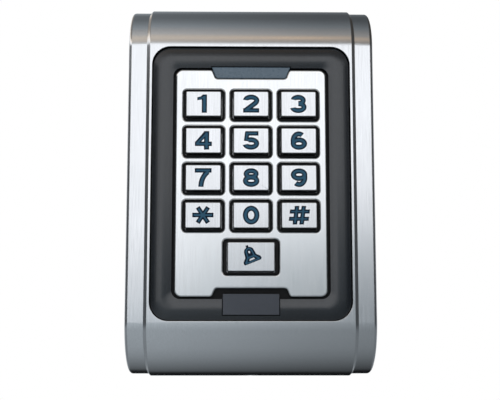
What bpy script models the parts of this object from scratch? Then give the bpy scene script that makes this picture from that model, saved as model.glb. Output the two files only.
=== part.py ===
"""RFID card reader: a wall-mounted keypad reader with a cast metal case.

Origin: centre of the wall plate's back face. +X to the viewer's right, +Z up, and the front
faces -Y. Depths are measured forward from the wall, so a depth d lies at y = -d.
Lengths in this file are millimetres; SCALE turns them into metres.
"""
import math

import bmesh
import bpy
from mathutils import Euler, Matrix, Vector

SCALE = 0.001
GAP = 0.3                       # clearance between touching pieces

# Case: a raised middle band between two side strips, rolled off at both ends
CASE_HALF_W = 41.0
CASE_HALF_H = 64.0
BAND_HALF_W = 34.9
BAND_FRONT = 26.0
STRIP_DROP = 1.0                # how far the strips lie below the band's front
STRIP_SHORT = 0.7               # how far the strips stop short of the band's ends
STRIP_ROUND = 1.1               # edge rounding of the strips and of the band
BAND_ROUND = 0.8
FLAT_HALF_H = 45.9              # half height of the flat front
ROLL_DEPTH = 23.2               # depth of the elliptical roll-off
CASE_BACK = 0.4
CAVITY_HALF_W = 37.2
CAVITY_HALF_H = 57.0
CAVITY_FLAT = 46.9
CAVITY_FRONT = 22.5
LEDGE = 7.0                     # depth of the ledge under the rear gasket
RECESS_HALF_W = 38.8
RECESS_HALF_H = 58.6

# Window in the band, and the black moulding that fills it
WINDOW_HALF_W = 32.95
WINDOW_HALF_H = 45.6
WINDOW_R = 6.2
WINDOW_CHAMFER = 0.6
RING_INNER_W = 25.95
RING_INNER_H = 38.55
RING_INNER_R = 2.9
RING_EDGE = 24.6
RING_CROWN = 0.6
SLAB_BACK = 21.4
SLAB_TOP = 22.2
FLOOR_TOP = 23.2
COLLAR_TOP = 24.7

# Metal keypad plate
PLATE_HALF_W = 25.05
PLATE_HALF_H = 37.85
PLATE_R = 2.3
PLATE_BACK = 23.5
PLATE_FRONT = 25.2

# Keys
KEY_PITCH_X = 15.7
KEY_PITCH_Z = 12.36
KEY_TOP_ROW = 25.65
KEY_SIZE = (11.75, 8.55)
KEY_OPENING = (13.65, 10.6)
BELL_Z = -24.95
BELL_SIZE = (15.5, 9.6)
BELL_OPENING = (18.3, 11.7)
OPENING_R = 1.3
KEY_CLEARANCE = 0.2             # between a cap and its collar
COLLAR_GAP = 0.25               # between a collar and the plate
KEY_CORNER = 0.4
KEY_FRONT = 27.5
KEY_FLANGE_BACK = 20.0
KEY_FLANGE_FRONT = 21.1
KEY_FLANGE = 0.85               # how far the retaining flange stands out
KEY_DRAFT = 0.15
ENGRAVING = 0.6                 # depth of the engraved pocket
INLAY_GAP = 0.05                # between the inlay and its pocket, and below the cap's face
KEY_LAYOUT = (("1", "2", "3"), ("4", "5", "6"), ("7", "8", "9"), ("star", "0", "hash"))

# Light bar and sensor window: (top half width, bottom half width, top z, bottom z)
LENS = (13.15, 11.6, 38.75, 34.95)
NOTCH = (11.55, 13.05, -35.1, -38.65)
SENSOR_WINDOW = (9.15, 9.15, -36.9, -43.6)

# Board and what it carries
BOARD_HALF = (31.0, 50.0)
BOARD_BACK = 14.2
BOARD_FRONT = 15.8
POST_X, POST_Z = 25.2, 38.5

# Rear cover, wall plate and fixings
COVER_BACK, COVER_FRONT = 3.2, 5.2
COVER_SCREW_X, COVER_SCREW_Z = 33.6, 53.2
CABLE_Z = 22.0
TAMPER_X, TAMPER_Z = 20.0, 4.0
PLATE_THICK = 1.5
WALL_SLOT_Z = 41.65             # 83.3 mm between the vertical slots
WALL_SLOT_X = 30.0              # 60 mm between the horizontal slots
SECURITY_DEPTH = 5.6

GLYPH_HALF_H = 3.1
STROKE = 1.72


def new_collection(name):
    """Return an empty collection linked to the scene."""
    group = bpy.data.collections.new(name)
    bpy.context.scene.collection.children.link(group)
    return group


for old in list(bpy.data.objects):
    bpy.data.objects.remove(old, do_unlink=True)
PARTS = new_collection("rfid_card_reader")
CUTTERS = new_collection("cutters")


# ---------------------------------------------------------------- materials

def finish(obj, colour, roughness, metallic):
    """Give the object a Principled material of its own."""
    material = bpy.data.materials.new(obj.name)
    material.use_nodes = True
    shader = material.node_tree.nodes["Principled BSDF"]
    shader.inputs["Base Color"].default_value = (*colour, 1.0)
    shader.inputs["Roughness"].default_value = roughness
    shader.inputs["Metallic"].default_value = metallic
    obj.data.materials.clear()
    obj.data.materials.append(material)
    return obj


SATIN_METAL = ((0.62, 0.63, 0.65), 0.32, 1.0)
BLACK_PLASTIC = ((0.02, 0.02, 0.023), 0.45, 0.0)
BLACK_RUBBER = ((0.015, 0.015, 0.016), 0.7, 0.0)
BLUE_LENS = ((0.10, 0.14, 0.18), 0.2, 0.0)
SMOKED = ((0.03, 0.035, 0.045), 0.15, 0.0)
BLUE_INLAY = ((0.01, 0.05, 0.10), 0.4, 0.0)
BOARD_GREEN = ((0.02, 0.16, 0.07), 0.5, 0.0)
COPPER = ((0.60, 0.25, 0.10), 0.4, 1.0)
STEEL = ((0.55, 0.55, 0.56), 0.35, 1.0)
LED_CLEAR = ((0.75, 0.76, 0.74), 0.1, 0.0)
SENSOR_RED = ((0.45, 0.10, 0.05), 0.3, 0.0)


# ------------------------------------------------------------- basic shapes

def add_object(name, mesh):
    """Link a mesh object among the parts."""
    obj = bpy.data.objects.new(name, mesh)
    PARTS.objects.link(obj)
    return obj


def arc(cx, cy, rx, ry, start, end, steps):
    """Points on an elliptical arc; angles in degrees."""
    turn = math.radians(end - start) / steps
    first = math.radians(start)
    return [(cx + rx * math.cos(first + turn * i), cy + ry * math.sin(first + turn * i))
            for i in range(steps + 1)]


def rounded_rect(half_w, half_h, radius, steps=4, cx=0.0, cy=0.0):
    """Outline of a rectangle with round corners, anticlockwise from the upper right corner."""
    points = []
    for quarter, (sx, sy) in enumerate(((1, 1), (-1, 1), (-1, -1), (1, -1))):
        points += arc(cx + sx * (half_w - radius), cy + sy * (half_h - radius),
                      radius, radius, 90 * quarter, 90 * quarter + 90, steps)
    return points


def circle(cx, cy, radius, steps=16):
    """Outline of a circle."""
    return arc(cx, cy, radius, radius, 0, 360, steps)[:-1]


def trapezoid(spec, grow=0.0):
    """Outline of (top half width, bottom half width, top, bottom), grown on all sides."""
    top_w, bottom_w, top, bottom = spec
    return [(top_w + grow, top + grow), (-top_w - grow, top + grow),
            (-bottom_w - grow, bottom - grow), (bottom_w + grow, bottom - grow)]


def extruded(name, loops, low, high, turn=(90, 0, 0)):
    """A flat outline with holes, extruded between two depths in front of the wall."""
    curve = bpy.data.curves.new(name, 'CURVE')
    curve.dimensions = '2D'
    curve.fill_mode = 'BOTH'
    curve.extrude = (high - low) / 2 * SCALE
    for loop in loops:
        spline = curve.splines.new('POLY')
        spline.points.add(len(loop) - 1)
        for point, (x, y) in zip(spline.points, loop):
            point.co = (x * SCALE, y * SCALE, 0.0, 1.0)
        spline.use_cyclic_u = True
    guide = bpy.data.objects.new(name + "_outline", curve)
    PARTS.objects.link(guide)
    rotation = Euler([math.radians(a) for a in turn]).to_matrix().to_4x4()
    middle = Vector((0.0, 0.0, (low + high) / 2 * SCALE))
    guide.matrix_world = rotation @ Matrix.Translation(middle)
    bpy.context.view_layer.update()
    mesh = bpy.data.meshes.new_from_object(guide.evaluated_get(bpy.context.evaluated_depsgraph_get()))
    mesh.name = name
    weld(mesh)
    mesh.transform(guide.matrix_world)
    bpy.data.objects.remove(guide, do_unlink=True)
    return add_object(name, mesh)


def weld(mesh):
    """Join the loose caps of a filled curve to its walls."""
    cage = bmesh.new()
    cage.from_mesh(mesh)
    bmesh.ops.remove_doubles(cage, verts=cage.verts, dist=1e-7)
    bmesh.ops.recalc_face_normals(cage, faces=cage.faces)
    cage.to_mesh(mesh)
    cage.free()


def loft(name, rings, closed, steps=4):
    """Skin between rounded-rectangle rings given as (half_w, half_h, radius, depth)."""
    cage = bmesh.new()
    rows = []
    for half_w, half_h, radius, depth in rings:
        outline = rounded_rect(half_w, half_h, radius, steps)
        rows.append([cage.verts.new((x * SCALE, -depth * SCALE, z * SCALE)) for x, z in outline])
    count = len(rows[0])
    spans = list(zip(rows, rows[1:]))
    if closed:
        spans.append((rows[-1], rows[0]))
    for lower, upper in spans:
        for i in range(count):
            j = (i + 1) % count
            cage.faces.new((lower[i], lower[j], upper[j], upper[i]))
    if not closed:
        cage.faces.new(rows[0])
        cage.faces.new(rows[-1])
    bmesh.ops.recalc_face_normals(cage, faces=cage.faces)
    mesh = bpy.data.meshes.new(name)
    cage.to_mesh(mesh)
    cage.free()
    return add_object(name, mesh)


def cylinder(name, x, z, radius, low, high, sides=20):
    """A cylinder that points forward from the wall."""
    mesh = bpy.data.meshes.new(name)
    cage = bmesh.new()
    place = Matrix.Translation((x * SCALE, -(low + high) / 2 * SCALE, z * SCALE))
    bmesh.ops.create_cone(cage, cap_ends=True, segments=sides, radius1=radius * SCALE,
                          radius2=radius * SCALE, depth=(high - low) * SCALE,
                          matrix=place @ Matrix.Rotation(math.radians(90), 4, 'X'))
    cage.to_mesh(mesh)
    cage.free()
    return add_object(name, mesh)


def box(name, x_span, z_span, low, high):
    """A box from its spans across, up and forward."""
    mesh = bpy.data.meshes.new(name)
    cage = bmesh.new()
    size = (x_span[1] - x_span[0], high - low, z_span[1] - z_span[0])
    centre = (sum(x_span) / 2, -(low + high) / 2, sum(z_span) / 2)
    place = Matrix.Translation(Vector(centre) * SCALE)
    bmesh.ops.create_cube(cage, size=SCALE, matrix=place @ Matrix.Diagonal((*size, 1.0)))
    cage.to_mesh(mesh)
    cage.free()
    return add_object(name, mesh)


def turned(name, x, z, profile, sides=20):
    """A closed (radius, depth) outline turned about an axis that points forward."""
    cage = bmesh.new()
    rows = []
    for i in range(sides):
        turn = 2 * math.pi * i / sides
        rows.append([cage.verts.new(((x + r * math.cos(turn)) * SCALE, -depth * SCALE,
                                     (z + r * math.sin(turn)) * SCALE)) for r, depth in profile])
    for row, following in zip(rows, rows[1:] + rows[:1]):
        for i in range(len(profile)):
            j = (i + 1) % len(profile)
            cage.faces.new((row[i], row[j], following[j], following[i]))
    bmesh.ops.recalc_face_normals(cage, faces=cage.faces)
    mesh = bpy.data.meshes.new(name)
    cage.to_mesh(mesh)
    cage.free()
    return add_object(name, mesh)


def boolean(target, tools, operation='DIFFERENCE'):
    """Add one exact Boolean modifier for each tool, and move the tools to the cutters."""
    for tool in tools:
        PARTS.objects.unlink(tool)
        CUTTERS.objects.link(tool)
        tool.hide_render = True
        tool.display_type = 'WIRE'
        modifier = target.modifiers.new(operation.title() + "_" + tool.name, 'BOOLEAN')
        modifier.operation = operation
        modifier.solver = 'EXACT'
        modifier.object = tool
    return target


def dissolve_flat(mesh):
    """Merge the coplanar faces that a union leaves."""
    cage = bmesh.new()
    cage.from_mesh(mesh)
    bmesh.ops.remove_doubles(cage, verts=cage.verts, dist=1e-6)
    bmesh.ops.dissolve_limit(cage, angle_limit=math.radians(1), verts=cage.verts, edges=cage.edges)
    cage.to_mesh(mesh)
    cage.free()


def round_edges(obj, width, segments=2, angle=50):
    """Bevel the sharp edges."""
    modifier = obj.modifiers.new("Round_edges", 'BEVEL')
    modifier.width = width * SCALE
    modifier.segments = segments
    modifier.limit_method = 'ANGLE'
    modifier.angle_limit = math.radians(angle)
    return obj


# -------------------------------------------------------------------- glyphs

def bar(x0, y0, x1, y1, width=STROKE):
    """Outline of a straight stroke with square ends."""
    length = math.hypot(x1 - x0, y1 - y0)
    nx, ny = -(y1 - y0) / length * width / 2, (x1 - x0) / length * width / 2
    return [[(x0 + nx, y0 + ny), (x0 - nx, y0 - ny), (x1 - nx, y1 - ny), (x1 + nx, y1 + ny)]]


def bow(cx, cy, rx, ry, start, end, steps=10, width=STROKE):
    """Outline of a stroke along an elliptical arc."""
    half = width / 2
    outer = arc(cx, cy, rx + half, ry + half, start, end, steps)
    inner = arc(cx, cy, rx - half, ry - half, start, end, steps)
    return [outer + inner[::-1]]


def loop(cx, cy, rx, ry, steps=16, width=STROKE):
    """Outline of a closed oval stroke."""
    half = width / 2
    return [arc(cx, cy, rx + half, ry + half, 0, 360, steps)[:-1],
            arc(cx, cy, rx - half, ry - half, 0, 360, steps)[:-1]]


def turned_over(strokes):
    """The same strokes, rotated by half a turn."""
    return [[[(-x, -y) for x, y in outline] for outline in stroke] for stroke in strokes]


def leaning(strokes, slope):
    """The same strokes, slanted to the right."""
    return [[[(x + slope * y, y) for x, y in outline] for outline in stroke] for stroke in strokes]


def tilted(strokes, degrees, shift):
    """The same strokes, rotated anticlockwise and then shifted."""
    c, s = math.cos(math.radians(degrees)), math.sin(math.radians(degrees))
    return [[[(c * x - s * y + shift[0], s * x + c * y + shift[1]) for x, y in outline]
             for outline in stroke] for stroke in strokes]


def bell_strokes():
    """A hand bell that leans to the left: dome and skirt with a counter each, a knob on top."""
    dome = arc(0, 1.2, 1.35, 1.35, 20, 160, 8)
    body = dome + [(-1.6, -0.45), (-2.9, -1.55), (-3.05, -2.2), (-2.7, -2.65), (2.7, -2.65),
                   (3.05, -2.2), (2.9, -1.55), (1.6, -0.45)]
    upper = arc(0, 0.9, 0.42, 0.58, 0, 360, 10)[:-1]
    lower = [(-1.15, -1.85), (1.15, -1.85), (0.85, -1.2), (-0.85, -1.2)]
    return tilted([[body, upper, lower], bar(0, 2.3, 0, 3.2, 0.85)], 22, (-0.3, 0.65))


def glyph_strokes(label):
    """Strokes of one legend, each a list of an outline and its holes."""
    top = GLYPH_HALF_H
    mid = top - STROKE / 2
    side = 1.85
    six = [loop(0, -1.0, side, 1.24), bow(0, 0, side, mid, 52, 205)]
    shapes = {
        "0": [loop(0, 0, side, mid, 22)],
        "1": [[[(1.1, -top), (1.1, top), (-0.35, top), (-0.9, 2.45), (-2.1, 2.15), (-2.1, 1.15),
                (-0.6, 1.35), (-0.6, -top)]]],
        "2": [bow(0, 1.05, side, mid - 1.05, 172, -38), bar(1.6, 0.4, -1.85, -2.3),
              bar(-2.65, -mid, 2.65, -mid, 1.55)],
        "3": [bow(-0.1, 1.18, 1.65, mid - 1.18, 168, -90), bow(-0.1, -1.08, 1.9, mid - 1.08, 90, -168)],
        "4": [bar(1.05, -top, 1.05, top), bar(-2.8, -1.15, 2.8, -1.15, 1.45),
              bar(-2.15, -1.05, 0.95, 2.6, 1.5)],
        "5": [bar(-1.75, 2.38, 2.4, 2.38, 1.44), bar(-1.25, 2.9, -1.65, -0.2, 1.44),
              bow(-0.1, -1.0, 1.9, mid - 1.0, 125, -165)],
        "6": six,
        "7": [bar(-2.75, 2.35, 2.75, 2.35, 1.5), bow(3.4, -top, 4.1, 5.5, 180, 114, 8)],
        "8": [loop(0, 1.24, 1.6, mid - 1.24), loop(0, -1.05, side, mid - 1.05)],
        "9": turned_over(six),
        "star": [bar(-3.45, 0, 3.45, 0, 1.5), bar(-1.7, -2.55, 1.7, 2.55, 1.5),
                 bar(-1.7, 2.55, 1.7, -2.55, 1.5)],
        "hash": leaning([bar(x, -3.05, x, 3.05, 1.5) for x in (-1.1, 1.1)]
                        + [bar(-3.25, z, 3.25, z, 1.35) for z in (-1.2, 1.2)], 0.13),
        "bell": bell_strokes(),
    }
    return shapes[label]


def glyph_pieces(name, label, x, z, low, high, stagger=0.0):
    """One solid for each stroke of a legend; a stagger makes each a little longer at both ends."""
    pieces = []
    for index, stroke in enumerate(glyph_strokes(label)):
        placed = [[(x + px, z + pz) for px, pz in outline] for outline in stroke]
        pieces.append(extruded(name if index == 0 else f"{name}_stroke_{index}", placed,
                               low - index * stagger, high + index * stagger))
    return pieces


def baked(obj):
    """Replace the object's modifiers by their result, and drop the union tools."""
    bpy.context.view_layer.update()
    source = obj.evaluated_get(bpy.context.evaluated_depsgraph_get())
    mesh = bpy.data.meshes.new_from_object(source)
    tools = [m.object for m in obj.modifiers if m.type == 'BOOLEAN']
    obj.modifiers.clear()
    obj.data = mesh
    dissolve_flat(mesh)
    for tool in tools:
        bpy.data.objects.remove(tool, do_unlink=True)
    return obj


# ---------------------------------------------------------------------- case

def side_profile(flat_half, end_half, front, roll, low, steps=10):
    """Case outline seen from the side, as (-depth, z), with elliptical ends."""
    rise = front - roll
    upper = [(-(rise + roll * math.cos(t)), flat_half + (end_half - flat_half) * math.sin(t))
             for t in (math.pi / 2 * i / steps for i in range(steps + 1))]
    lower = [(y, -z) for y, z in reversed(upper)]
    return [(-low, -end_half)] + lower + upper + [(-low, end_half)]


def case_blank(name, half_w, flat_half, end_half, front, roll, low):
    """A side profile extruded across the case."""
    outline = side_profile(flat_half, end_half, front, roll, low)
    return extruded(name, [outline], -half_w, half_w, turn=(90, 0, 90))


def cover_posts():
    """Four posts inside the case that take the rear cover's screws."""
    return [cylinder(f"post_{sx}_{sz}", sx * COVER_SCREW_X, sz * COVER_SCREW_Z, 3.0,
                     COVER_FRONT + GAP, 19.0, 16)
            for sx in (-1, 1) for sz in (-1, 1)]


def hook_pockets():
    """Pockets in the end walls for the wall plate's hooks and its bottom tab."""
    tools = [box("top_pocket", (-17.5, 17.5), (RECESS_HALF_H - 0.4, 60.5), -1, 9.0),
             box("hook_groove", (-17.5, 17.5), (60.0, 61.6), 4.5, 9.0),
             box("bottom_pocket", (-8.5, 8.5), (-60.5, -RECESS_HALF_H + 0.4), -1, 10.0)]
    for name, radius, low, high in (("security_bore", 1.6, -66.0, -60.0),
                                    ("security_counterbore", 2.9, -66.0, -62.3)):
        tool = cylinder(name, 0, 0, radius, low, high)
        tool.data.transform(Matrix.Translation((0, -SECURITY_DEPTH * SCALE, 0))
                            @ Matrix.Rotation(math.radians(-90), 4, 'X'))
        tools.append(tool)
    return tools


def make_case():
    """The casting: strips and band in one piece, hollow from the back, open at the window."""
    overrun = 3.0
    case = case_blank("front_case", CASE_HALF_W, FLAT_HALF_H, CASE_HALF_H - STRIP_SHORT,
                      BAND_FRONT - STRIP_DROP, ROLL_DEPTH - 0.8, -overrun)
    round_edges(case, STRIP_ROUND, 3)
    band = case_blank("band", BAND_HALF_W, FLAT_HALF_H, CASE_HALF_H, BAND_FRONT, ROLL_DEPTH, -overrun - 1.0)
    round_edges(band, BAND_ROUND, 3)
    boolean(case, [band], 'UNION')
    cavity = case_blank("cavity", CAVITY_HALF_W, CAVITY_FLAT, CAVITY_HALF_H, CAVITY_FRONT,
                        CAVITY_FRONT - LEDGE, -overrun - 2.0)
    recess = extruded("recess", [rounded_rect(RECESS_HALF_W, RECESS_HALF_H, 2.0)], -overrun - 3.0, LEDGE)
    trim = box("rim_trim", (-50.0, 50.0), (-75.0, 75.0), -overrun - 6.0, CASE_BACK)
    lip = WINDOW_CHAMFER
    window = loft("window", [(WINDOW_HALF_W, WINDOW_HALF_H, WINDOW_R, 18.0),
                             (WINDOW_HALF_W, WINDOW_HALF_H, WINDOW_R, BAND_FRONT - lip),
                             (WINDOW_HALF_W + lip, WINDOW_HALF_H + lip, WINDOW_R + lip, BAND_FRONT),
                             (WINDOW_HALF_W + 2 * lip, WINDOW_HALF_H + 2 * lip, WINDOW_R + 2 * lip,
                              BAND_FRONT + lip)], closed=False)
    boolean(case, [cavity, recess, window, trim])
    boolean(case, cover_posts(), 'UNION')
    bores = [cylinder(f"post_bore_{sx}_{sz}", sx * COVER_SCREW_X, sz * COVER_SCREW_Z, 1.45, 3.0, 14.0, 12)
             for sx in (-1, 1) for sz in (-1, 1)]
    boolean(case, bores + hook_pockets())
    return finish(case, *SATIN_METAL)


# ------------------------------------------------------------------ front set

def key_places():
    """Name, centre, cap size and opening size of every key."""
    places = []
    for row, labels in enumerate(KEY_LAYOUT):
        for column, label in enumerate(labels):
            places.append((label, (column - 1) * KEY_PITCH_X, KEY_TOP_ROW - row * KEY_PITCH_Z,
                           KEY_SIZE, KEY_OPENING))
    places.append(("bell", 0.0, BELL_Z, BELL_SIZE, BELL_OPENING))
    return places


def make_bezel():
    """The black moulding: crowned ring, floor, collars round the keys and posts for the board."""
    slab = extruded("bezel_frame", [rounded_rect(36.0, 47.8, 3.0)], SLAB_BACK, FLOOR_TOP)
    outer_w, outer_h, outer_r = WINDOW_HALF_W - GAP, WINDOW_HALF_H - GAP, WINDOW_R - GAP
    inset = 0.5
    step = extruded("slab_step", [rounded_rect(40.0, 52.0, 3.0),
                                  rounded_rect(outer_w - inset, outer_h - inset, outer_r - inset)],
                    SLAB_TOP, FLOOR_TOP + 1)
    boolean(slab, [step])
    rings = [(outer_w, outer_h, outer_r, SLAB_TOP - 0.4)]
    rows = 6
    for i in range(rows + 1):
        part = i / rows
        rings.append((outer_w + (RING_INNER_W - outer_w) * part, outer_h + (RING_INNER_H - outer_h) * part,
                      outer_r + (RING_INNER_R - outer_r) * part,
                      RING_EDGE + RING_CROWN * math.sin(math.pi * part)))
    rings.append((RING_INNER_W, RING_INNER_H, RING_INNER_R, SLAB_TOP - 0.4))
    ring = loft("crowned_ring", rings, closed=True)
    collars, wells = [], []
    for label, x, z, size, hole in key_places():
        outer = rounded_rect(hole[0] / 2 - COLLAR_GAP, hole[1] / 2 - COLLAR_GAP, OPENING_R - 0.2, 2, x, z)
        collars.append(extruded(f"collar_{label}", [outer], FLOOR_TOP - 0.4, COLLAR_TOP))
        well = rounded_rect(size[0] / 2 + KEY_CLEARANCE, size[1] / 2 + KEY_CLEARANCE, KEY_CORNER, 1, x, z)
        wells.append(extruded(f"well_{label}", [well], SLAB_BACK - 1, COLLAR_TOP + 1))
    posts = [cylinder(f"board_post_{sx}_{sz}", sx * POST_X, sz * POST_Z, 1.8, BOARD_FRONT + GAP,
                      SLAB_BACK + 0.4, 8) for sx in (-1, 1) for sz in (-1, 1)]
    boolean(slab, [ring] + collars + posts, 'UNION')
    pilots = [cylinder(f"pilot_{sx}_{sz}", sx * POST_X, sz * POST_Z, 1.2, 14.0, 20.0, 8)
              for sx in (-1, 1) for sz in (-1, 1)]
    lens_seat = extruded("lens_seat", [trapezoid(LENS, GAP)], FLOOR_TOP, 27.0)
    sensor_seat = extruded("sensor_seat", [trapezoid(SENSOR_WINDOW, GAP)], FLOOR_TOP, 27.0)
    led_slot = box("led_slot", (-10.5, 10.5), (35.3, 38.2), 20.0, 24.0)
    sensor_slot = box("sensor_slot", (-4.0, 4.0), (-42.6, -38.2), 20.0, 24.0)
    boolean(slab, wells + pilots + [lens_seat, sensor_seat, led_slot, sensor_slot])
    return finish(slab, *BLACK_PLASTIC)


def make_plate():
    """The metal keypad plate with its openings and two trapezoid notches."""
    loops = [rounded_rect(PLATE_HALF_W, PLATE_HALF_H, PLATE_R)]
    for _, x, z, _, hole in key_places():
        loops.append(rounded_rect(hole[0] / 2, hole[1] / 2, OPENING_R, 3, x, z))
    plate = extruded("keypad_plate", loops, PLATE_BACK, PLATE_FRONT)
    boolean(plate, [extruded("top_notch", [trapezoid(LENS, GAP)], 22.0, 27.0),
                    extruded("bottom_notch", [trapezoid(NOTCH)], 22.0, 27.0)])
    return finish(plate, *SATIN_METAL)


def make_key(label, x, z, size):
    """A key cap with draft, a retaining flange and an engraved legend, and its inlay."""
    half_w, half_h = size[0] / 2, size[1] / 2
    flange = (half_w + KEY_FLANGE, half_h + KEY_FLANGE, 2 * KEY_CORNER)
    shaft = (half_w, half_h, KEY_CORNER)
    cap = loft(f"key_{label}", [(*flange, KEY_FLANGE_BACK), (*flange, KEY_FLANGE_FRONT),
                                (*shaft, KEY_FLANGE_FRONT), (*shaft, PLATE_FRONT),
                                (half_w - KEY_DRAFT, half_h - KEY_DRAFT, KEY_CORNER, KEY_FRONT)],
               closed=False, steps=2)
    cap.data.transform(Matrix.Translation((x * SCALE, 0, z * SCALE)))
    floor = KEY_FRONT - ENGRAVING
    boolean(cap, glyph_pieces(f"engraving_{label}", label, x, z, floor, KEY_FRONT + 0.5, stagger=0.01))
    finish(cap, *SATIN_METAL)
    strokes = glyph_pieces(f"legend_{label}", label, x, z, floor + INLAY_GAP, KEY_FRONT - INLAY_GAP)
    inlay = baked(boolean(strokes[0], strokes[1:], 'UNION'))
    shrink(inlay, INLAY_GAP)
    return finish(inlay, *BLUE_INLAY)


def shrink(obj, distance):
    """Pull the side walls in along their normals, so that the inlay clears its pocket."""
    cage = bmesh.new()
    cage.from_mesh(obj.data)
    cage.normal_update()
    moves = {}
    for vert in cage.verts:
        walls = [face.normal for face in vert.link_faces if abs(face.normal.y) < 0.5]
        if not walls:
            continue
        mean = sum(walls, Vector()).normalized()
        moves[vert] = -mean * distance * SCALE / max(0.5, mean.dot(walls[0]))
    for vert, move in moves.items():
        vert.co += move
    cage.to_mesh(obj.data)
    cage.free()


def make_front_set():
    """Plate, lenses and keys."""
    make_plate()
    finish(extruded("status_lens", [trapezoid(LENS)], PLATE_BACK, 25.0), *BLUE_LENS)
    finish(extruded("sensor_window", [trapezoid(SENSOR_WINDOW)], PLATE_BACK, 24.9), *SMOKED)
    for label, x, z, size, _ in key_places():
        make_key(label, x, z, size)


# ---------------------------------------------------------------- electronics

def make_mat():
    """Rubber mat with one dome under each key."""
    mat = extruded("silicone_mat", [rounded_rect(23.5, 32.5, 2.0, 3)], BOARD_FRONT + GAP, 17.1)
    domes = []
    for label, x, z, _, _ in key_places():
        dome = cylinder(f"dome_{label}", x, z, 3.2, 16.8, 18.6, 12)
        for vert in dome.data.vertices:
            if vert.co.y < -18.0 * SCALE:
                vert.co.x = x * SCALE + (vert.co.x - x * SCALE) * 0.6
                vert.co.z = z * SCALE + (vert.co.z - z * SCALE) * 0.6
        domes.append(dome)
    boolean(mat, domes, 'UNION')
    return finish(mat, *BLACK_RUBBER)


def make_board():
    """Circuit board with the holes for its four screws."""
    holes = [circle(sx * POST_X, sz * POST_Z, 1.25, 12) for sx in (-1, 1) for sz in (-1, 1)]
    board = extruded("circuit_board", [rounded_rect(*BOARD_HALF, 1.5, 3)] + holes, BOARD_BACK, BOARD_FRONT)
    return finish(board, *BOARD_GREEN)


def screw_set(name, places, head, head_r, shank, shank_r):
    """Pan-head screws that point forward, numbered from 1."""
    for index, (x, z) in enumerate(places, 1):
        outline = [(0.6, head[0] + 0.5), (0.6, head[0]), (head_r * 0.75, head[0]), (head_r, head[0] + 0.4),
                   (head_r, head[1]), (shank_r, head[1]), (shank_r, shank), (0.01, shank),
                   (0.01, head[0] + 0.5)]
        finish(turned(f"{name}_{index}", x, z, outline, 10), *STEEL)


def make_chip():
    """Microcontroller: a flat package with leads on all four sides."""
    x, z = -12.0, 6.0
    low, high = BOARD_BACK - 1.7, BOARD_BACK - GAP
    chip = round_edges(box("microcontroller", (x - 5, x + 5), (z - 5, z + 5), low, high), 0.2, 1)
    leads = []
    for i in range(6):
        shift = (i - 2.5) * 1.5
        leads.append(box(f"lead_x_{i}", (x - 6.2, x + 6.2), (z + shift - 0.3, z + shift + 0.3), high - 0.35,
                         high - 0.05))
        leads.append(box(f"lead_z_{i}", (x + shift - 0.3, x + shift + 0.3), (z - 6.2, z + 6.2), high - 0.45,
                         high - 0.1))
    boolean(chip, leads, 'UNION')
    return finish(chip, *BLACK_PLASTIC)


def make_header():
    """Shrouded ten-pin header for the installer's cable."""
    x, z = 2.0, 42.0
    shell = round_edges(box("wire_header", (x - 14, x + 14), (z - 3.2, z + 3.2), 7.0, BOARD_BACK - GAP), 0.3, 1)
    boolean(shell, [box("header_well", (x - 12.8, x + 12.8), (z - 2.1, z + 2.1), 6.0, 12.4)])
    pins = [box(f"pin_{i}", (x - 11.25 + 2.5 * i - 0.35, x - 11.25 + 2.5 * i + 0.35), (z - 0.35, z + 0.35),
                8.2, 12.8) for i in range(10)]
    boolean(shell, pins, 'UNION')
    return finish(shell, (0.8, 0.79, 0.74), 0.5, 0.0)


def make_electronics():
    """Everything between the bezel and the rear cover."""
    make_board()
    make_mat()
    posts = [(sx * POST_X, sz * POST_Z) for sx in (-1, 1) for sz in (-1, 1)]
    screw_set("board_screw", posts, (12.6, BOARD_BACK - GAP), 2.0, 18.8, 0.9)
    coil = loft("antenna_coil", [(30.6, 46.2, 6.0, 16.3), (30.6, 46.2, 6.0, 19.0), (28.0, 43.6, 3.4, 19.0),
                                 (28.0, 43.6, 3.4, 16.3)], closed=True)
    finish(round_edges(coil, 0.5, 1), *COPPER)
    for name, x in (("left", -8.0), ("middle", 0.0), ("right", 8.0)):
        led = cylinder(f"status_led_{name}", x, 36.7, 1.3, BOARD_FRONT + GAP, 20.8, 12)
        finish(round_edges(led, 0.6, 2), *LED_CLEAR)
    sensor = cylinder("window_sensor", 0.0, -40.4, 1.6, BOARD_FRONT + GAP, 20.6, 12)
    finish(round_edges(sensor, 0.6, 2), *LED_CLEAR)
    make_chip()
    relay = box("relay", (4.0, 24.0), (-30.0, -20.0), 6.2, BOARD_BACK - GAP)
    finish(round_edges(relay, 0.5, 2), *BLACK_PLASTIC)
    sounder = turned("buzzer", -15.0, -26.0, [(1.0, 9.5), (1.0, 8.3), (5.6, 8.3), (6.0, 8.8),
                                              (6.0, BOARD_BACK - GAP), (0.01, BOARD_BACK - GAP), (0.01, 9.5)])
    finish(sounder, *BLACK_PLASTIC)
    make_header()
    tamper = cylinder("tamper_sensor", TAMPER_X, TAMPER_Z, 2.2, 5.6, BOARD_BACK - GAP, 20)
    finish(round_edges(tamper, 0.3, 1), *SENSOR_RED)


# ------------------------------------------------------------ back and fixings

def make_rear_cover():
    """Flat cover with holes for its screws, the grommet and the tamper sensor."""
    holes = [circle(sx * COVER_SCREW_X, sz * COVER_SCREW_Z, 1.5, 12) for sx in (-1, 1) for sz in (-1, 1)]
    holes.append(circle(0, CABLE_Z, 5.0, 20))
    holes.append(circle(TAMPER_X, TAMPER_Z, 2.6, 16))
    outline = rounded_rect(RECESS_HALF_W - GAP, RECESS_HALF_H - GAP, 1.7, 3)
    cover = extruded("rear_cover", [outline] + holes, COVER_BACK, COVER_FRONT)
    return finish(cover, *BLACK_PLASTIC)


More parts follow.
